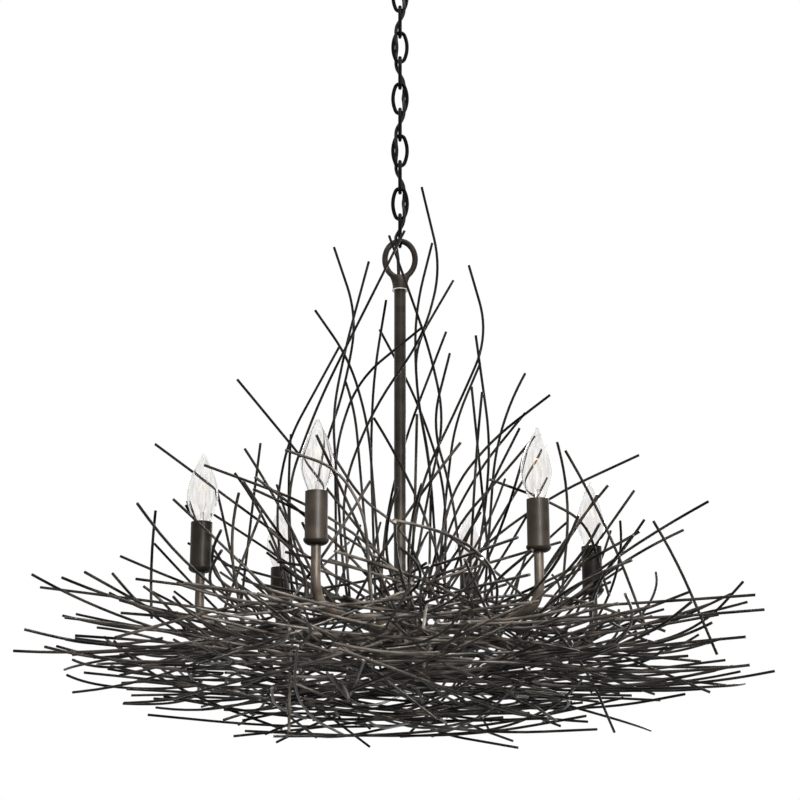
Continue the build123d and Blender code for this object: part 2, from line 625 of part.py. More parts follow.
def slides_to_touch(places, direction, reach):
    """Slides along the direction, nearest first, at which the wire clears everything and just touches."""
    first = unit(np.cross(direction, [1.0, 0.0, 0.0]))
    second = np.cross(direction, first)
    flat = np.column_stack([first, second])
    others = np.vstack(placed_places)
    other_radii = np.concatenate(placed_radii)
    other_flank = np.concatenate(placed_weldable)
    low = places.min(axis=0) - reach
    high = places.max(axis=0) + reach
    near = np.all((others > low) & (others < high), axis=1)
    others, other_radii, other_flank = others[near], other_radii[near], other_flank[near]
    if not len(others):
        return []
    furthest = WIRE_DIAMETER / 2 + other_radii.max() + RUNNING_GAP
    other_tree = cKDTree(others @ flat)
    pairs = cKDTree(places @ flat).sparse_distance_matrix(other_tree, furthest, output_type="ndarray")
    needed = WIRE_DIAMETER / 2 + other_radii[pairs["j"]] + RUNNING_GAP
    pairs, needed = pairs[pairs["v"] < needed], needed[pairs["v"] < needed]
    half = np.sqrt(needed**2 - pairs["v"] ** 2)
    along = (others @ direction)[pairs["j"]] - (places @ direction)[pairs["i"]]
    order = np.argsort(along - half)
    closed = []
    for low_end, high_end in zip((along - half)[order], (along + half)[order]):
        if closed and low_end <= closed[-1][1]:
            closed[-1][1] = max(closed[-1][1], high_end)
        else:
            closed.append([low_end, high_end])
    on_flank = weldable(places)[pairs["i"]] & other_flank[pairs["j"]]
    slides = []
    for edge in sorted((edge for span in closed for edge in span if abs(edge) <= reach), key=abs):
        if np.any(np.abs(np.abs(along - edge) - half)[on_flank] < WELD_SLACK):
            slides.append(edge)
    return slides


def lay(points, direction, reach):
    """Slides a bent wire to its first free touching place. Gives its points there, or nothing."""
    points = np.array(points, dtype=float)
    places = centre_line(points, bend_radii(points))
    for slide in slides_to_touch(places, direction, reach):
        moved = places + slide * direction
        if not blocked(moved):
            keep(moved, WIRE_DIAMETER / 2)
            return points + slide * direction
    return None


def mound(distance):
    """Height of the nest's upper skin above its middle plane."""
    return 6 + MOUND_HEIGHT * max(0.0, 1 - distance / (0.8 * NEST_RADIUS)) ** 1.2


def bowl(distance):
    """Depth of the nest's lower skin below its middle plane, as a height."""
    return -10 - BOWL_DEPTH * max(0.0, 1 - (distance / (0.86 * NEST_RADIUS)) ** 2)


def skin_wire(azimuth, skin, nearest, furthest, turn_spread, tip_spread):
    """Long wire that lies along the upper or lower skin, bows round the middle and tips to one end."""
    distance = NEST_RADIUS * rng.uniform(nearest, furthest)
    heading = azimuth + math.pi / 2 + rng.normal(0, turn_spread)
    length = rng.uniform(200, 400)
    bow = rng.uniform(-12, 52)
    tip = rng.normal(0, tip_spread)
    depth_share = rng.uniform(0.1, 1.0)
    curl = rng.normal(0, tip_spread / 2)
    points = []
    for share in (-1.0, -0.4, 0.3, 1.0):
        run = share * length / 2
        out = distance + bow * (1 - share**2)
        x = out * math.cos(azimuth) + run * math.cos(heading)
        y = out * math.sin(azimuth) + run * math.sin(heading)
        level = skin(math.hypot(x, y)) * depth_share + tip * share + curl * share**2
        points.append((x, y, NEST_Z + level + rng.normal(0, 3)))
    return points


def rim_wire(azimuth, height, rise):
    """Wire that leaves the bed and ends as a free tip outside it, higher or lower than its root."""
    root = NEST_RADIUS * rng.uniform(0.3, 0.62)
    reach = NEST_RADIUS * (1 - 0.22 * rng.uniform(0, 1) ** 1.3)
    swing = rng.normal(0, 0.34)
    bow = rng.normal(0, 34)
    start = np.array([root * math.cos(azimuth - swing), root * math.sin(azimuth - swing), height])
    tip_height = height + rise
    tip = np.array([reach * math.cos(azimuth), reach * math.sin(azimuth), tip_height])
    sideways = unit(np.cross(tip - start, UPWARD))
    middle = start + (tip - start) * rng.uniform(0.4, 0.6) + sideways * bow - UPWARD * rng.normal(7, 8)
    return [point + UPWARD * NEST_Z for point in (start, middle, tip)]


def under_wire(azimuth):
    """Short wire that pokes out of the nest's underside, down and outward."""
    root = NEST_RADIUS * rng.uniform(0.08, 0.5)
    length = rng.uniform(110, 210)
    swing = azimuth + rng.normal(0, 0.9)
    start_level = bowl(root) * rng.uniform(0.45, 0.8)
    start = np.array([root * math.cos(azimuth), root * math.sin(azimuth), start_level])
    tip = start + np.array([math.cos(swing), math.sin(swing), 0.0]) * length
    tip[2] = bowl(math.hypot(tip[0], tip[1])) - rng.uniform(4, 26)
    middle = (start + tip) / 2 + np.append(rng.normal(0, 14, 2), rng.normal(0, 6))
    return [point + UPWARD * NEST_Z for point in (start, middle, tip)]


def leaning_wire(azimuth):
    """Wire that rises out of the bed and leans outward, lower the further out it ends."""
    root = NEST_RADIUS * rng.uniform(0.06, 0.62)
    slope = math.radians(rng.uniform(16, 64))
    length = rng.uniform(140, 310)
    swing = azimuth + rng.normal(0, 0.75)
    start = np.array([root * math.cos(azimuth), root * math.sin(azimuth), rng.uniform(-16, 20)])
    outward = np.array([math.cos(swing), math.sin(swing), 0.0])
    tip = start + (outward * math.cos(slope) + UPWARD * math.sin(slope)) * length
    ceiling = 300 - 0.6 * math.hypot(tip[0], tip[1])
    tip = start + (tip - start) * min(1.0, ceiling / tip[2])
    bow = unit(np.cross(outward, UPWARD)) * rng.normal(0, 30) + UPWARD * rng.normal(-4, 14)
    middle = start + (tip - start) * rng.uniform(0.42, 0.6) + bow
    return [point + UPWARD * NEST_Z for point in (start, middle, tip)]


def front_wire(depth, *seen):
    """Wire drawn by hand as it is seen from the front: across and above the nest, tip first."""
    points = []
    for across, above in seen:
        points.append((across * (1 + depth / EYE_DISTANCE), depth, NEST_Z + above + SIGHT_RISE * depth))
    return points


# The tall wires that give the spray its shape: depth from the stem, then places from tip to root
SPRAY_LEFT = [
    (4, (-72, 432), (-46, 352), (-59, 271), (-87, 182), (-92, 42)),
    (-10, (-34, 414), (-59, 314), (-72, 242), (-58, 60), (-50, 20)),
    (-34, (5, 447), (-86, 257), (-116, 171), (-116, 117), (-104, 42)),
    (-18, (-92, 358), (-54, 302), (-34, 231), (-18, 42)),
    (15, (-66, 318), (-120, 212), (-131, 139), (-121, 42)),
    (12, (-15, 371), (-28, 286), (-31, 203), (-25, 31)),
    (22, (23, 339), (-45, 280), (-68, 206), (-65, 42)),
    (40, (-57, 278), (-47, 247), (-29, 42)),
    (60, (-114, 220), (-117, 149), (-110, 42)),
    (20, (-147, 210), (-156, 122), (-163, 42)),
    (60, (-189, 158), (-171, 84), (-161, 31)),
    (10, (-252, 140), (-256, 85), (-252, 31)),
]
SPRAY_RIGHT = [
    (16, (-22, 338), (19, 258), (49, 160), (46, 42)),
    (-24, (24, 500), (45, 406), (26, 330), (-30, 245), (-62, 160), (-52, 42)),
    (18, (58, 395), (16, 319), (19, 258), (33, 182), (30, 42)),
    (30, (35, 439), (16, 359), (17, 269), (32, 182), (40, 42)),
    (-30, (-12, 443), (32, 314), (48, 236), (27, 142), (10, 42)),
    (-18, (75, 409), (96, 330), (62, 251), (21, 166), (6, 42)),
    (-30, (82, 329), (96, 215), (91, 144), (73, 42)),
    (14, (50, 336), (6, 217), (-15, 128), (-21, 42)),
    (-40, (54, 309), (34, 231), (55, 158), (69, 42)),
    (30, (86, 300), (58, 232), (49, 160), (38, 42)),
    (40, (75, 272), (82, 193), (94, 42)),
    (20, (132, 287), (101, 228), (86, 42)),
    (50, (132, 244), (85, 184), (53, 125), (31, 42)),
    (-112, (175, 202), (216, 130), (256, 16)),
    (-20, (254, 197), (164, 155), (94, 106), (42, 52)),
    (-95, (259, 131), (280, 95), (318, 0)),
]
SPRAY_FRONT = [
    (-30, (-175, 280), (-78, 163), (0, 63)),
    (-70, (-28, 237), (-5, 200), (34, 117), (52, 42)),
    (-60, (-264, 209), (-181, 149), (-84, 79), (-31, 42)),
    (-100, (-207, 187), (-101, 149), (-29, 105), (31, 42)),
    (-140, (-155, 163), (-63, 124), (21, 63)),
    (-226, (-118, 203), (-64, 186), (-36, 144), (-28, 60)),
    (-90, (-71, 199), (-40, 152), (2, 123), (42, 42)),
    (-170, (-31, 172), (-61, 124), (-115, 52)),
    (-70, (-234, 152), (-167, 92), (-115, 42)),
    (-90, (-143, 142), (-172, 66), (-187, 21)),
    (-60, (88, 265), (81, 203), (71, 42)),
    (-45, (160, 262), (100, 216), (58, 166), (26, 52)),
    (-80, (143, 217), (104, 172), (63, 128), (21, 42)),
    (-196, (96, 172), (153, 152), (199, 128), (221, 52)),
    (-60, (165, 211), (178, 158), (165, 42)),
    (-110, (219, 166), (172, 113), (126, 42)),
    (-80, (247, 160), (191, 85), (157, 42)),
    (-60, (320, 149), (236, 103), (168, 52)),
]

MOUND_COUNT = 48
BOWL_COUNT = 84
LOWER_RIM_COUNT = 54
UPPER_RIM_COUNT = 54
LEANING_COUNT = 48
BACK_COUNT = 26
UNDER_COUNT = 40
BALANCE_COUNT = 32
TRIES = 40
groups = {}


def settle_family(name, count, make, direction, reach):
    """Lays a family of wires in opposite pairs, so that the nest hangs level."""
    wires = groups.setdefault(name, [])
    for index in range(count):
        turn = 2 * math.pi * (index // 2 * 0.381966 + 0.5 * (index % 2))
        for attempt in range(TRIES):
            laid = lay(make(turn + rng.normal(0, 0.1)), direction, reach)
            if laid is not None:
                wires.append(laid)
                break


def settle_drawn(name, rows):
    """Lays the hand-drawn wires, a little nearer or further away where the first place is taken."""
    wires = groups.setdefault(name, [])
    for depth, *seen in rows:
        for shift in (0, 15, -15, 30, -30, 50, -50, 75, -75):
            laid = lay(front_wire(depth + shift, *seen), SIGHT, 60)
            if laid is not None:
                wires.append(laid)
                break
        else:
            print("no free place for", name, depth, seen[0])


def lean_of_nest():
    """Sum of the wires' lengths times their places off the stem, in plan."""
    return sum((places[:, :2].sum(axis=0) for places in placed_places), np.zeros(2)) * SAMPLE_STEP


def upper_skin_wire(turn):
    return skin_wire(turn, mound, 0.08, 0.5, 1.0, 42)


def lower_skin_wire(turn):
    return skin_wire(turn, bowl, 0.05, 0.66, 0.9, 13)


def upper_rim_wire(turn):
    return rim_wire(turn, rng.uniform(-20, 12), rng.uniform(-14, 64))


def lower_rim_wire(turn):
    return rim_wire(turn, rng.uniform(-56, -8), rng.uniform(-18, 24))


def back_wire(turn):
    """Leaning wire on the far side of the nest."""
    return leaning_wire(math.pi * (0.1 + 0.8 * (turn % 1.0)))


def balancing_wire(turn):
    """Lower wire laid on the side that the nest would rise on."""
    lean = lean_of_nest()
    azimuth = math.atan2(-lean[1], -lean[0]) if np.linalg.norm(lean) > 3e4 else turn
    return skin_wire(azimuth + rng.normal(0, 0.4), bowl, 0.1, 0.6, 0.8, 12)


settle_family("bed_wires_upper", MOUND_COUNT, upper_skin_wire, UPWARD, 30)
settle_family("bed_wires_lower", BOWL_COUNT, lower_skin_wire, UPWARD, 34)
settle_family("rim_wires_lower", LOWER_RIM_COUNT, lower_rim_wire, UPWARD, 24)
settle_drawn("spray_wires_left", SPRAY_LEFT)
settle_drawn("spray_wires_right", SPRAY_RIGHT)
settle_drawn("spray_wires_front", SPRAY_FRONT)
settle_family("rim_wires_upper", UPPER_RIM_COUNT, upper_rim_wire, UPWARD, 24)
settle_family("leaning_wires", LEANING_COUNT, leaning_wire, SIGHT, 40)
settle_family("spray_wires_back", BACK_COUNT, back_wire, SIGHT, 50)
settle_family("under_wires", UNDER_COUNT, under_wire, UPWARD, 30)
settle_family("balance_wires", BALANCE_COUNT, balancing_wire, UPWARD, 40)

for name, wires in groups.items():
    save(Compound([round_bar(points, WIRE_DIAMETER) for points in wires]), name)
    print(name, len(wires), "wires")
print("nest plane", round(NEST_Z, 2), "bulb tip", round(BULB_TIP_Z, 2))
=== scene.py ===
import math
import random

import bpy
from mathutils import Matrix, Vector


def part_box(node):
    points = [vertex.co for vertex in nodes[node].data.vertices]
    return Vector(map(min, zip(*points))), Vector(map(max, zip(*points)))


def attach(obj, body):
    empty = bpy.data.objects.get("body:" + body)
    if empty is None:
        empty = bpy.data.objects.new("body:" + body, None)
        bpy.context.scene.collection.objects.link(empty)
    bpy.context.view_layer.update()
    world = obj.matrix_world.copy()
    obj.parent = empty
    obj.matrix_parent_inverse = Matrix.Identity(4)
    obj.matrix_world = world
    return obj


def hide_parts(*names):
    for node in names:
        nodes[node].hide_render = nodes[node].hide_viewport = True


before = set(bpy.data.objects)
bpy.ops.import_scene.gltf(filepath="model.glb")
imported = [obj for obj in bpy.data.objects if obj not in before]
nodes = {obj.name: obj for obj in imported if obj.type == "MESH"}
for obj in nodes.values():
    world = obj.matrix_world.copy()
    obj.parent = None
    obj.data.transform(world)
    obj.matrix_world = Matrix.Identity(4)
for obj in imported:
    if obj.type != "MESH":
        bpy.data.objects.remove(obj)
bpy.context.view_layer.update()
bpy.ops.object.select_all(action="DESELECT")


# Mounting strap, nipple and lock nut. They are zinc-plated steel: stamped, cut from threaded tube,
# and tapped. They hold the fitting to the ceiling box under the canopy.
MM = 0.001
PATTERN_LOW = 0.3
PATTERN_HIGH = 0.7
DARK_PATCH = 0.36
LIGHT_PATCH = 0.66
BUMP_STRENGTH = 0.6


def new_finish(name):
    """Bare node material: its tree, its shader and the piece's own coordinates."""
    material = bpy.data.materials.new(name)
    material.use_nodes = True
    tree = material.node_tree
    shader = tree.nodes["Principled BSDF"]
    place = tree.nodes.new("ShaderNodeTexCoord").outputs["Object"]
    return material, tree, shader, place


def noise(tree, place, per_metre, detail=2.0, stretch=None):
    """Cloudy pattern with that many patches to the metre, drawn out along an axis if stretch says so."""
    if stretch is not None:
        mapping = tree.nodes.new("ShaderNodeMapping")
        mapping.inputs["Scale"].default_value = stretch
        tree.links.new(place, mapping.inputs["Vector"])
        place = mapping.outputs["Vector"]
    pattern = tree.nodes.new("ShaderNodeTexNoise")
    pattern.inputs["Scale"].default_value = per_metre
    pattern.inputs["Detail"].default_value = detail
    tree.links.new(place, pattern.inputs["Vector"])
    return pattern.outputs["Fac"]


def tones(tree, pattern, *stops):
    """Two colours laid over a pattern: each stop is (place from 0 to 1, colour)."""
    ramp = tree.nodes.new("ShaderNodeValToRGB")
    for element, (at, colour) in zip(ramp.color_ramp.elements, stops):
        element.position = at
        element.color = (*colour, 1.0)
    tree.links.new(pattern, ramp.inputs["Fac"])
    return ramp.outputs["Color"]


def between(tree, pattern, low, high):
    """A number that goes from low to high over the middle of a pattern."""
    mapped = tree.nodes.new("ShaderNodeMapRange")
    mapped.inputs["From Min"].default_value = PATTERN_LOW
    mapped.inputs["From Max"].default_value = PATTERN_HIGH
    mapped.inputs["To Min"].default_value = low
    mapped.inputs["To Max"].default_value = high
    tree.links.new(pattern, mapped.inputs["Value"])
    return mapped.outputs["Result"]


def relief(tree, shader, pattern, height):
    """Bump of that height in metres."""
    bump = tree.nodes.new("ShaderNodeBump")
    bump.inputs["Strength"].default_value = BUMP_STRENGTH
    bump.inputs["Distance"].default_value = height
    tree.links.new(pattern, bump.inputs["Height"])
    tree.links.new(bump.outputs["Normal"], shader.inputs["Normal"])


def metal_finish(name, dark, light, patches, rough, metallic, grain, grain_height, shine=0.5):
    """Aged metal: two tones in soft patches, roughness that wanders with a fine grain, and its bump.

    Patches and grain are counted to the metre, and shine is how strongly bare paint mirrors.
    """
    material, tree, shader, place = new_finish(name)
    patchy = noise(tree, place, patches, detail=4.0)
    fine = noise(tree, place, grain)
    two_tone = tones(tree, patchy, (DARK_PATCH, dark), (LIGHT_PATCH, light))
    tree.links.new(two_tone, shader.inputs["Base Color"])
    tree.links.new(between(tree, fine, *rough), shader.inputs["Roughness"])
    shader.inputs["Metallic"].default_value = metallic
    shader.inputs["Specular IOR Level"].default_value = shine
    relief(tree, shader, fine, grain_height)
    return material


def dress(finish, *names):
    """Gives CAD nodes their finish."""
    for name in names:
        for material_slot in nodes[name].material_slots:
            material_slot.material = finish


zinc = metal_finish(
    "zinc plate",
    dark=(0.42, 0.42, 0.40),
    light=(0.62, 0.61, 0.57),
    patches=90,
    rough=(0.28, 0.46),
    metallic=1.0,
    grain=1800,
    grain_height=0.04 * MM,
)
dress(zinc, "mounting_strap", "threaded_nipple", "nipple_lock_nut")


# Ceiling canopy, collar and the two loops. The canopy is a disc of sheet steel spun over a form,
# the collar is turned and the loops are cast. All are sprayed in the satin dark bronze of the stem.
def satin_bronze(name, patches, grain, grain_height):
    """Sprayed satin bronze: a soft brown grey, a little lighter in patches."""
    return metal_finish(
        name,
        dark=(0.0165, 0.0126, 0.0092),
        light=(0.05, 0.0385, 0.0285),
        patches=patches,
        rough=(0.34, 0.48),
        metallic=0.15,
        grain=grain,
        grain_height=grain_height,
        shine=0.2,
    )


spun_bronze = satin_bronze("spun bronze paint", patches=45, grain=2200, grain_height=0.03 * MM)
cast_bronze = satin_bronze("cast bronze paint", patches=120, grain=900, grain_height=0.12 * MM)
dress(spun_bronze, "ceiling_canopy")
dress(cast_bronze, "canopy_collar", "canopy_loop", "fixture_loop")


# Chain. Each link is bent from round steel wire, closed by a butt joint and dipped in a near-black finish.
# The links hang in each other, a quarter turn apart.
LINK_COUNT = 10

chain_black = metal_finish(
    "chain black",
    dark=(0.002, 0.0018, 0.0016),
    light=(0.006, 0.0054, 0.0047),
    patches=160,
    rough=(0.28, 0.42),
    metallic=0.1,
    grain=1500,
    grain_height=0.05 * MM,
    shine=0.06,
)
dress(chain_black, *[f"chain_link_{number:02d}" for number in range(1, LINK_COUNT + 1)])


# Supply cord. Twin flex with two cores side by side in one dark sheath, woven through every link from the
# canopy down into the stem. It bends with the chain, so it is cut where each link hangs in the one above,
# and a thin tongue at the foot of each length reaches into a bore in the next, with room for the swing.
CORD_DIAMETER = 4.0 * MM
CORD_THICKNESS = 2.9 * MM
CORD_SIDES = 20
CORD_STEPS = 12
CORD_TOP_Z = -1.0 * MM
UPPER_LOOP_Z = -61.0 * MM
CEILING_BAR_Z = -97.4 * MM
FIXTURE_BAR_Z = -407.7 * MM
LOWER_LOOP_Z = -442.1 * MM
CORD_FOOT_Z = -839.2 * MM
BAR_CHAIN_SIDE = 1.0 * MM
BAR_FAR_SIDE = 6.0 * MM
FIRST_MIDDLE_Z = -109.9 * MM
LINK_PITCH = 31.7 * MM
HALF_LINK = 18.1 * MM
BESIDE_LINK = 4.6 * MM
BESIDE_BAR = 5.7 * MM
INSIDE_LINK = 3.25 * MM
CROSSING = 8.8 * MM
CUT_ABOVE_HANG = 2.0 * MM
GROOVE = 0.85 * MM
TONGUE_LENGTH = 2.9 * MM
TONGUE_SHARE = 0.6
BORE_SHARE = 0.86
SMOOTH_ANGLE = math.radians(50)

link_middles = [FIRST_MIDDLE_Z - LINK_PITCH * index for index in range(LINK_COUNT)]
side_x = 1
side_y = 1
route = [(0, 0, CORD_TOP_Z), (0, 0, UPPER_LOOP_Z)]
route.append((BESIDE_BAR, BESIDE_LINK, CEILING_BAR_Z + BAR_FAR_SIDE))
route.append((BESIDE_BAR, BESIDE_LINK, CEILING_BAR_Z - BAR_CHAIN_SIDE))
for index, middle in enumerate(link_middles):
    route.append((BESIDE_LINK * side_x, BESIDE_LINK * side_y, middle + CROSSING))
    if index % 2 == 0:
        route.append((INSIDE_LINK * side_x, 0, middle))
        side_y = -side_y
    else:
        route.append((0, INSIDE_LINK * side_y, middle))
        side_x = -side_x
    route.append((BESIDE_LINK * side_x, BESIDE_LINK * side_y, middle - CROSSING))
route.append((BESIDE_LINK * side_x, BESIDE_BAR * side_y, FIXTURE_BAR_Z + BAR_CHAIN_SIDE))
route.append((BESIDE_LINK * side_x, BESIDE_BAR * side_y, FIXTURE_BAR_Z - BAR_FAR_SIDE))
route.append((0, 0, LOWER_LOOP_Z))
route.append((0, 0, CORD_FOOT_Z))


def spline_points(name, points, steps):
    """Points along the smooth line that has these as its control points, so many steps between two."""
    curve = bpy.data.curves.new(name, "CURVE")
    curve.dimensions = "3D"
    spline = curve.splines.new("NURBS")
    spline.points.add(len(points) - 1)
    for control, place in zip(spline.points, points):
        control.co = (*place, 1.0)
    spline.order_u = 3
    spline.use_endpoint_u = True
    curve.resolution_u = steps
    holder = bpy.data.objects.new(name, curve)
    line = bpy.data.meshes.new_from_object(holder)
    along = [vertex.co.copy() for vertex in line.vertices]
    bpy.data.meshes.remove(line)
    bpy.data.curves.remove(curve)
    return along


def frames_along(points):
    """Two directions across the line at each point, carried along it without twist."""
    across = Vector((1, 0, 0))
    found = []
    for index in range(len(points)):
        ahead = points[min(index + 1, len(points) - 1)] - points[max(index - 1, 0)]
        ahead.normalize()
        across = (across - ahead * across.dot(ahead)).normalized()
        found.append((across.copy(), ahead.cross(across)))
    return found


def twin_section(width, thickness, count):
    """Outline of two round cores side by side that run into each other, as (across, up) pairs."""
    core = thickness / 2
    offset = width / 2 - core
    outline = []
    for step in range(count):
        angle = 2 * math.pi * step / count
        x = math.cos(angle)
        y = math.sin(angle)
        reach = offset * abs(x) + math.sqrt(core**2 - (offset * y) ** 2)
        outline.append((reach * x, reach * y))
    return outline


def swept_tube(name, points, frames, outline, shares=None):
    """Closed tube that carries an outline along a line, at each point drawn in to a share of its size."""
    shares = shares or [1.0] * len(points)
    rings = []
    for place, (across, up), share in zip(points, frames, shares):
        rings.extend(place + (across * x + up * y) * share for x, y in outline)
    count = len(outline)
    faces = []
    for ring in range(len(points) - 1):
        for step in range(count):
            a = ring * count + step
            b = ring * count + (step + 1) % count
            faces.append((a, b, b + count, a + count))
    faces.append(tuple(reversed(range(count))))
    faces.append(tuple(range(len(rings) - count, len(rings))))
    mesh = bpy.data.meshes.new(name)
    mesh.from_pydata(rings, [], faces)
    mesh.update()
    tube = bpy.data.objects.new(name, mesh)
    bpy.context.collection.objects.link(tube)
    return tube


def select_only(*pieces):
    """Selects these objects alone, with the first as the active one."""
    bpy.ops.object.select_all(action="DESELECT")
    for piece in pieces:
        piece.select_set(True)
    bpy.context.view_layer.objects.active = pieces[0]


def flex_finish():
    """Nearly black sheath: smooth plastic with a faint grain and a few paler rub marks."""
    material, tree, shader, place = new_finish("flex sheath")
    rubbed = noise(tree, place, 140, detail=3.0)
    grain = noise(tree, place, 2600)
    sheath_tones = tones(tree, rubbed, (0.45, (0.006, 0.0055, 0.005)), (0.8, (0.02, 0.018, 0.016)))
    tree.links.new(sheath_tones, shader.inputs["Base Color"])
    tree.links.new(between(tree, grain, 0.3, 0.45), shader.inputs["Roughness"])
    shader.inputs["Specular IOR Level"].default_value = 0.2
    relief(tree, shader, grain, 0.03 * MM)
    return material


flex = flex_finish()
cord_line = spline_points("cord_line", route, CORD_STEPS)
cord_frames = frames_along(cord_line)
cord_outline = twin_section(CORD_DIAMETER, CORD_THICKNESS, CORD_SIDES)
link_bodies = [f"link_{number:02d}" for number in range(1, LINK_COUNT + 1)]
cord_bodies = ["ceiling_fitting", *link_bodies, "chandelier"]
hang_heights = [CEILING_BAR_Z, *[middle - HALF_LINK for middle in link_middles]]
last_point = len(cord_line) - 1


def first_below(height):
    """Number of the first point along the cord that is at this height or under it."""
    return next(index for index, point in enumerate(cord_line) if point.z <= height)


tops = [(0, 0)]
feet = []
for height in hang_heights:
    shoulder = first_below(height + CUT_ABOVE_HANG)
    tongue_end = first_below(cord_line[shoulder].z - TONGUE_LENGTH)
    feet.append((shoulder, tongue_end))
    rim = first_below(cord_line[shoulder].z - GROOVE)
    bore_end = first_below(cord_line[rim].z - TONGUE_LENGTH)
    tops.append((rim, bore_end))
feet.append((last_point, last_point))
for number, (top, foot) in enumerate(zip(tops, feet)):
    rim, bore_end = top
    shoulder, tongue_end = foot
    bore = list(reversed(range(rim, bore_end + 1)))
    sheath = list(range(rim, shoulder + 1))
    tongue = list(range(shoulder, tongue_end + 1))
    rings = [*bore, *sheath, *tongue]
    shares = [BORE_SHARE] * len(bore) + [1.0] * len(sheath) + [TONGUE_SHARE] * len(tongue)
    cord = swept_tube(
        f"cord_{number + 1:02d}",
        [cord_line[index] for index in rings],
        [cord_frames[index] for index in rings],
        cord_outline,
        shares,
    )
    cord.data.materials.append(flex)
    select_only(cord)
    bpy.ops.object.shade_smooth_by_angle(angle=SMOOTH_ANGLE)
    if number == 0:
        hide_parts("supply_cord")
    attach(cord, cord_bodies[number])


# Washer, stem and lamp arms. The washer is turned steel left bright. The stem is drawn tube, the arms are
# bent from thinner tube, and both are sprayed dark bronze.
bright_steel = metal_finish(
    "bright washer",
    dark=(0.5, 0.48, 0.44),
    light=(0.72, 0.70, 0.66),
    patches=200,
    rough=(0.2, 0.34),
    metallic=1.0,
    grain=2600,
    grain_height=0.02 * MM,
)
tube_bronze = satin_bronze("tube bronze paint", patches=70, grain=2400, grain_height=0.03 * MM)
dress(bright_steel, "stem_washer")
dress(tube_bronze, "stem_tube", "lamp_arms")


# Hub and arm nuts. The hub, its cover, its cap nut and the nuts that lock the arms are turned,
# and they have the paint of the cast pieces.
dress(cast_bronze, "hub_body", "hub_cover", "hub_cap_nut", "arm_nuts")


# Candle cups, sleeves and sockets. The cups are turned, the sleeves are cut from painted tube,
# and the sockets inside them are pale moulded plastic.
# Painted shade: the sleeves and cups wear a darker copy of the stem's satin bronze, so that they render
# darker under the lamps.
sleeve_bronze_painted_shade = metal_finish(
    "sleeve bronze darkened as painted shade",
    dark=(0.0085, 0.0065, 0.0046),
    light=(0.022, 0.0172, 0.0124),
    patches=60,
    rough=(0.34, 0.48),
    metallic=0.1,
    grain=2600,
    grain_height=0.03 * MM,
    shine=0.12,
)
socket_plastic = metal_finish(
    "socket plastic",
    dark=(0.55, 0.52, 0.46),
    light=(0.66, 0.63, 0.57),
    patches=120,
    rough=(0.4, 0.55),
    metallic=0.0,
    grain=2000,
    grain_height=0.03 * MM,
)
dress(sleeve_bronze_painted_shade, "candle_cups", "candle_sleeves")
dress(socket_plastic, "lamp_sockets")


# Bulbs. Clear blown torpedo envelopes on brass screw bases. A pressed glass stem inside each one
# carries two leads and the coiled filament between them. Heights are shares of the envelope's height.
BULB_COUNT = 6
STEM_SIDES = 20
STEM_RINGS = [
    (0.008, 4.6 * MM),
    (0.03, 3.9 * MM),
    (0.07, 2.6 * MM),
    (0.14, 2.0 * MM),
    (0.19, 2.1 * MM),
    (0.215, 1.9 * MM),
]
STEM_PINCH = (1.35, 0.5, 1.0)
WIRE_SIDES = 6
LEAD_THICKNESS = 0.45 * MM
LEAD_STEPS = 8
LEAD_ROUTE = [
    (0.9 * MM, 0.17),
    (1.3 * MM, 0.24),
    (3.4 * MM, 0.28),
    (3.6 * MM, 0.4),
    (3.3 * MM, 0.5),
]
FILAMENT_THICKNESS = 0.22 * MM
FILAMENT_STEPS = 180
FILAMENT_COIL = 0.55 * MM
FILAMENT_TURNS = 34
FILAMENT_TOP = 0.6
FILAMENT_NARROWING = 0.8

brass = metal_finish(
    "bulb brass",
    dark=(0.55, 0.40, 0.18),
    light=(0.72, 0.55, 0.28),
    patches=260,
    rough=(0.25, 0.4),
    metallic=1.0,
    grain=2400,
    grain_height=0.02 * MM,
)
lead_wire = metal_finish(
    "lead wire",
    dark=(0.52, 0.47, 0.40),
    light=(0.70, 0.64, 0.55),
    patches=500,
    rough=(0.25, 0.4),
    metallic=0.5,
    grain=2600,
    grain_height=0.02 * MM,
)


def glass_finish():
    """Thin clear glass with faint drawn streaks, and painted shade that greys it where it is seen edge on,
    in place of dark reflections there.
    """
    material, tree, shader, place = new_finish("bulb glass")
    shader.inputs["Transmission Weight"].default_value = 0.985
    shader.inputs["IOR"].default_value = 1.06
    # Painted shade: the glass colour turns grey towards where it is seen edge on, standing in for dark
    # reflections.
    edge = tree.nodes.new("ShaderNodeLayerWeight")
    edge.inputs["Blend"].default_value = 0.35
    clear = tones(tree, edge.outputs["Facing"], (0.4, (0.975, 0.966, 0.956)), (1.0, (0.5, 0.51, 0.52)))
    streak = noise(tree, place, 260, stretch=(1, 1, 0.05))
    drawn = tones(tree, streak, (0.4, (0.86, 0.86, 0.855)), (0.56, (1, 1, 1)))
    streaked = tree.nodes.new("ShaderNodeMixRGB")
    streaked.blend_type = "MULTIPLY"
    streaked.inputs["Fac"].default_value = 1.0
    tree.links.new(clear, streaked.inputs["Color1"])
    tree.links.new(drawn, streaked.inputs["Color2"])
    tree.links.new(streaked.outputs["Color"], shader.inputs["Base Color"])
    smudge = noise(tree, place, 180, detail=3.0)
    tree.links.new(between(tree, smudge, 0.0, 0.03), shader.inputs["Roughness"])
    return material


def filament_finish():
    """Coiled tungsten with a weak warm glow, uneven along its length."""
    material, tree, shader, place = new_finish("filament")
    wander = noise(tree, place, 300)
    warm = tones(tree, wander, (0.3, (0.75, 0.55, 0.38)), (0.7, (0.95, 0.74, 0.52)))
    tree.links.new(warm, shader.inputs["Base Color"])
    tree.links.new(warm, shader.inputs["Emission Color"])
    shader.inputs["Roughness"].default_value = 0.3
    shader.inputs["Emission Strength"].default_value = 0.7
    return material


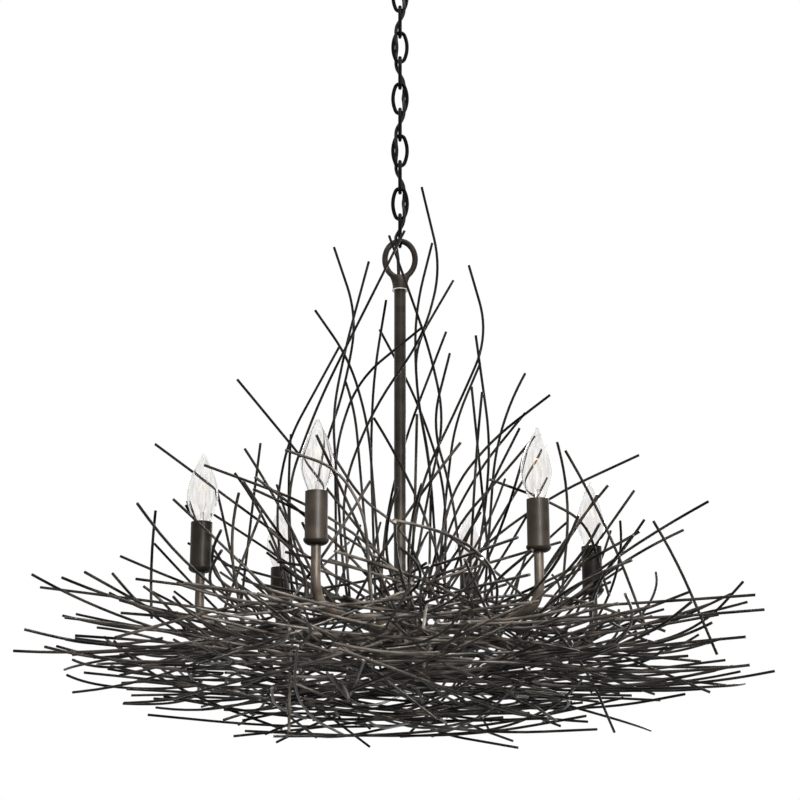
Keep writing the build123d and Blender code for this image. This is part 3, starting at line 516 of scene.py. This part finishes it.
bulb_glass = glass_finish()
filament_glow = filament_finish()
bulb_low, bulb_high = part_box("bulb_1_glass")
bulb_height = bulb_high.z - bulb_low.z
bulb_foot = Vector(((bulb_low.x + bulb_high.x) / 2, (bulb_low.y + bulb_high.y) / 2, bulb_low.z))


def pressed_stem():
    """Glass tube flared at its foot and pinched flat at its top, drawn up ring by ring."""
    share, radius = STEM_RINGS[0]
    level = bulb_foot.z + share * bulb_height
    bpy.ops.object.select_all(action="DESELECT")
    bpy.ops.mesh.primitive_circle_add(
        vertices=STEM_SIDES, radius=radius, fill_type="NGON", location=(bulb_foot.x, bulb_foot.y, level)
    )
    stem = bpy.context.object
    bpy.ops.object.mode_set(mode="EDIT")
    bpy.ops.mesh.select_all(action="SELECT")
    for share, next_radius in STEM_RINGS[1:]:
        rise = bulb_foot.z + share * bulb_height - level
        level += rise
        bpy.ops.mesh.extrude_region_move(TRANSFORM_OT_translate={"value": (0, 0, rise)})
        grow = next_radius / radius
        radius = next_radius
        bpy.ops.transform.resize(value=(grow, grow, 1), center_override=(bulb_foot.x, bulb_foot.y, level))
    bpy.ops.transform.resize(value=STEM_PINCH, center_override=(bulb_foot.x, bulb_foot.y, level))
    bpy.ops.mesh.select_all(action="SELECT")
    bpy.ops.mesh.normals_make_consistent(inside=False)
    bpy.ops.object.mode_set(mode="OBJECT")
    rounding = stem.modifiers.new("rounding", "SUBSURF")
    rounding.levels = 1
    rounding.render_levels = 1
    bpy.ops.object.modifier_apply(modifier=rounding.name)
    bpy.ops.object.shade_smooth()
    bpy.ops.object.transform_apply(location=True, rotation=True, scale=True)
    return stem


def round_section(thickness, count):
    """Outline of a round wire, as (across, up) pairs."""
    angles = [2 * math.pi * step / count for step in range(count)]
    return [(math.cos(angle) * thickness / 2, math.sin(angle) * thickness / 2) for angle in angles]


def wire_piece(name, lines, thickness):
    """One piece made of round wires that follow these lines."""
    outline = round_section(thickness, WIRE_SIDES)
    tubes = [swept_tube(name, line, frames_along(line), outline) for line in lines]
    select_only(*tubes)
    if len(tubes) > 1:
        bpy.ops.object.join()
    bpy.ops.object.shade_smooth_by_angle(angle=SMOOTH_ANGLE)
    return tubes[0]


def filament_line():
    """Coil that climbs from one lead's end, turns over at the top and comes down to the other's."""
    end_x, end_share = LEAD_ROUTE[-1]
    turn_x = end_x * FILAMENT_NARROWING
    spine = [(-end_x, end_share), (-turn_x, FILAMENT_TOP), (turn_x, FILAMENT_TOP), (end_x, end_share)]
    controls = [bulb_foot + Vector((x, 0, share * bulb_height)) for x, share in spine]
    spine_line = spline_points("filament_spine", controls, FILAMENT_STEPS)
    coiled = []
    for index, (place, (across, up)) in enumerate(zip(spine_line, frames_along(spine_line))):
        angle = 2 * math.pi * FILAMENT_TURNS * index / (len(spine_line) - 1)
        coiled.append(place + (across * math.cos(angle) + up * math.sin(angle)) * FILAMENT_COIL)
    return coiled


lead_lines = []
for side in (-1, 1):
    controls = [bulb_foot + Vector((side * x, 0, share * bulb_height)) for x, share in LEAD_ROUTE]
    lead_lines.append(spline_points("lead_route", controls, LEAD_STEPS))
first_stem = pressed_stem()
first_leads = wire_piece("bulb_leads", lead_lines, LEAD_THICKNESS)
first_filament = wire_piece("bulb_filament", [filament_line()], FILAMENT_THICKNESS)
bulb_insides = [
    ("stem", first_stem, bulb_glass, "bulb_glass"),
    ("leads", first_leads, lead_wire, "bulb_mount"),
    ("filament", first_filament, filament_glow, "bulb_mount"),
]
for number in range(1, BULB_COUNT + 1):
    dress(bulb_glass, f"bulb_{number}_glass")
    dress(brass, f"bulb_{number}_base")
    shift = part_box(f"bulb_{number}_glass")[0] - bulb_low
    for label, pattern, finish, slot in bulb_insides:
        piece = pattern
        if number > 1:
            piece = pattern.copy()
            piece.data = pattern.data.copy()
            piece.data.transform(Matrix.Translation(shift))
            bpy.context.collection.objects.link(piece)
        else:
            piece.data.materials.clear()
            piece.data.materials.append(finish)
        piece.name = f"bulb_{number}_{label}"
        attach(piece, f"bulb_{number}")
        if label == "leads":
            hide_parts(f"bulb_{number}_mount")


# Nest. Bent steel wires, cut to length, welded to two hoops and to each other where they cross,
# and sprayed a bronze that is nearly black in patches.
wire_bronze = metal_finish(
    "wire bronze paint",
    dark=(0.0035, 0.0028, 0.0022),
    light=(0.038, 0.0325, 0.0275),
    patches=24,
    rough=(0.2, 0.32),
    metallic=0.0,
    grain=1600,
    grain_height=0.05 * MM,
    shine=0.06,
)
dress(
    wire_bronze,
    "inner_hoop",
    "outer_hoop",
    "bed_wires_upper",
    "bed_wires_lower",
    "balance_wires",
    "under_wires",
    "rim_wires_upper",
    "rim_wires_lower",
    "leaning_wires",
    "spray_wires_back",
)


# Spray. The tall wires are bent by hand, so they lean to the front and the back as well as sideways.
# Each is a merged copy of its solid, which stands in one upright plane. It leans along the line of sight,
# so from the camera it looks as the solid does.
LOOK_AT = Vector((0, 0, -0.5892))
CAMERA_DISTANCE = 2.1
CAMERA_BELOW = math.radians(16.5)
EYE = LOOK_AT + CAMERA_DISTANCE * Vector((0, -math.cos(CAMERA_BELOW), -math.sin(CAMERA_BELOW)))
SPRAY_SEED = 12
LEAN_SHARE = (0.06, 0.2)
LEAN_POWER = (1.5, 2.4)
WAVE_SHARE = 0.035
RING_STEP = 20 * MM
MERGE_DISTANCE = 0.001 * MM
spray_draw = random.Random(SPRAY_SEED)


def loose_wires(node):
    """Merged copy of a node with rings of points at even heights, cut apart into its wires."""
    copy = bpy.data.objects.new(f"{node}_copy", nodes[node].data.copy())
    bpy.context.collection.objects.link(copy)
    select_only(copy)
    bpy.ops.mesh.customdata_custom_splitnormals_clear()
    bpy.ops.object.mode_set(mode="EDIT")
    bpy.ops.mesh.select_all(action="SELECT")
    bpy.ops.mesh.remove_doubles(threshold=MERGE_DISTANCE)
    node_low, node_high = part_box(node)
    level = node_low.z + RING_STEP
    while level < node_high.z:
        bpy.ops.mesh.select_all(action="SELECT")
        bpy.ops.mesh.bisect(plane_co=(0, 0, level), plane_no=(0, 0, 1))
        level += RING_STEP
    bpy.ops.mesh.select_all(action="SELECT")
    bpy.ops.mesh.separate(type="LOOSE")
    bpy.ops.object.mode_set(mode="OBJECT")
    return sorted(bpy.context.selected_objects, key=lambda wire: tuple(wire.data.vertices[0].co))


def lean_out(wire):
    """Leans a wire to the front or the back, away from the stem, with a slight wave up to its tip."""
    points = wire.data.vertices
    heights = [point.co.z for point in points]
    foot = min(heights)
    rise = max(heights) - foot
    depth = sum(point.co.y for point in points) / len(points)
    lean = math.copysign(spray_draw.uniform(*LEAN_SHARE) * rise, depth)
    power = spray_draw.uniform(*LEAN_POWER)
    wave = spray_draw.uniform(-WAVE_SHARE, WAVE_SHARE) * rise
    for point, height in zip(points, heights):
        risen = (height - foot) / rise
        sight = (point.co - EYE).normalized()
        point.co += sight * (lean * risen**power + wave * risen * math.sin(2 * math.pi * risen))


for side in ("left", "right", "front"):
    node = f"spray_wires_{side}"
    wires = loose_wires(node)
    for wire in wires:
        lean_out(wire)
    select_only(*wires)
    bpy.ops.object.join()
    spray = wires[0]
    spray.name = f"spray_{side}"
    spray.data.materials.clear()
    spray.data.materials.append(wire_bronze)
    bpy.ops.object.shade_smooth_by_angle(angle=SMOOTH_ANGLE)
    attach(spray, "chandelier")
    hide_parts(node)


# Studio. A pale floor far below the ceiling, a white background, four soft boxes and the camera,
# which looks up at the chandelier from a little below it.
FLOOR_BELOW_CEILING = 2.6
FLOOR_SIZE = 120.0
FLOOR_GLOW = 0.58
BACKDROP_STRENGTH = 1.0
SKY_LIGHT = 0.18
WHITE = (1, 1, 1, 1)
NEST_MIDDLE = (0, 0, -0.82)
NEST_FRONT = (0.0, -0.28, -0.96)
SENSOR_WIDTH = 36.0
LENS = 88.25

bpy.ops.object.select_all(action="DESELECT")
bpy.ops.mesh.primitive_plane_add(size=FLOOR_SIZE, location=(0, 0, -FLOOR_BELOW_CEILING))
floor = bpy.context.object
floor.name = "studio_floor"
floor_paint, floor_tree, floor_shader, floor_place = new_finish("floor paint")
floor_cloud = noise(floor_tree, floor_place, 0.8, detail=3.0)
floor_tones = tones(floor_tree, floor_cloud, (0.3, (0.80, 0.80, 0.80)), (0.7, (0.84, 0.84, 0.84)))
floor_tree.links.new(floor_tones, floor_shader.inputs["Base Color"])
floor_tree.links.new(floor_tones, floor_shader.inputs["Emission Color"])
floor_shader.inputs["Roughness"].default_value = 0.9
floor.data.materials.append(floor_paint)


def looked_at(tree):
    """One for rays that show a surface, straight, in a mirror or through glass, and nought for the rest."""
    rays = tree.nodes.new("ShaderNodeLightPath")
    seen = rays.outputs["Is Camera Ray"]
    for ray in ("Is Glossy Ray", "Is Transmission Ray"):
        either = tree.nodes.new("ShaderNodeMath")
        either.operation = "MAXIMUM"
        tree.links.new(seen, either.inputs[0])
        tree.links.new(rays.outputs[ray], either.inputs[1])
        seen = either.outputs[0]
    return seen


glow = floor_tree.nodes.new("ShaderNodeMath")
glow.operation = "MULTIPLY"
glow.inputs[1].default_value = FLOOR_GLOW
floor_tree.links.new(looked_at(floor_tree), glow.inputs[0])
floor_tree.links.new(glow.outputs[0], floor_shader.inputs["Emission Strength"])

world = bpy.data.worlds.new("studio")
bpy.context.scene.world = world
world.use_nodes = True
sky = world.node_tree
backdrop = sky.nodes["Background"]
backdrop.inputs["Color"].default_value = WHITE
backdrop.inputs["Strength"].default_value = BACKDROP_STRENGTH
soft = sky.nodes.new("ShaderNodeBackground")
soft.inputs["Color"].default_value = WHITE
soft.inputs["Strength"].default_value = SKY_LIGHT
chosen = sky.nodes.new("ShaderNodeMixShader")
sky.links.new(looked_at(sky), chosen.inputs["Fac"])
sky.links.new(soft.outputs["Background"], chosen.inputs[1])
sky.links.new(backdrop.outputs["Background"], chosen.inputs[2])
sky.links.new(chosen.outputs["Shader"], sky.nodes["World Output"].inputs["Surface"])


def soft_box(name, place, target, size, watts, spread_deg):
    """Square lamp aimed at a point, with a grid that keeps its light within the spread."""
    lamp = bpy.data.lights.new(name, "AREA")
    lamp.size = size
    lamp.energy = watts
    lamp.spread = math.radians(spread_deg)
    holder = bpy.data.objects.new(name, lamp)
    bpy.context.collection.objects.link(holder)
    holder.location = place
    holder.rotation_euler = (Vector(target) - Vector(place)).to_track_quat("-Z", "Y").to_euler()


soft_box("top_box", (0.3, -0.8, 1.0), NEST_MIDDLE, size=0.6, watts=13, spread_deg=180)
soft_box("front_box", (0.8, -2.0, -0.5), NEST_MIDDLE, size=0.5, watts=16, spread_deg=180)
soft_box("back_box", (1.0, 2.0, -0.3), NEST_MIDDLE, size=0.8, watts=16, spread_deg=180)
soft_box("nest_box", (0.3, -1.15, -0.3), NEST_FRONT, size=0.3, watts=6.5, spread_deg=30)

camera_data = bpy.data.cameras.new("camera")
camera_data.sensor_width = SENSOR_WIDTH
camera_data.lens = LENS
camera = bpy.data.objects.new("camera", camera_data)
bpy.context.collection.objects.link(camera)
camera.location = EYE
camera.rotation_euler = (LOOK_AT - EYE).to_track_quat("-Z", "Y").to_euler()
bpy.context.scene.camera = camera
bpy.context.scene.view_settings.view_transform = "Standard"
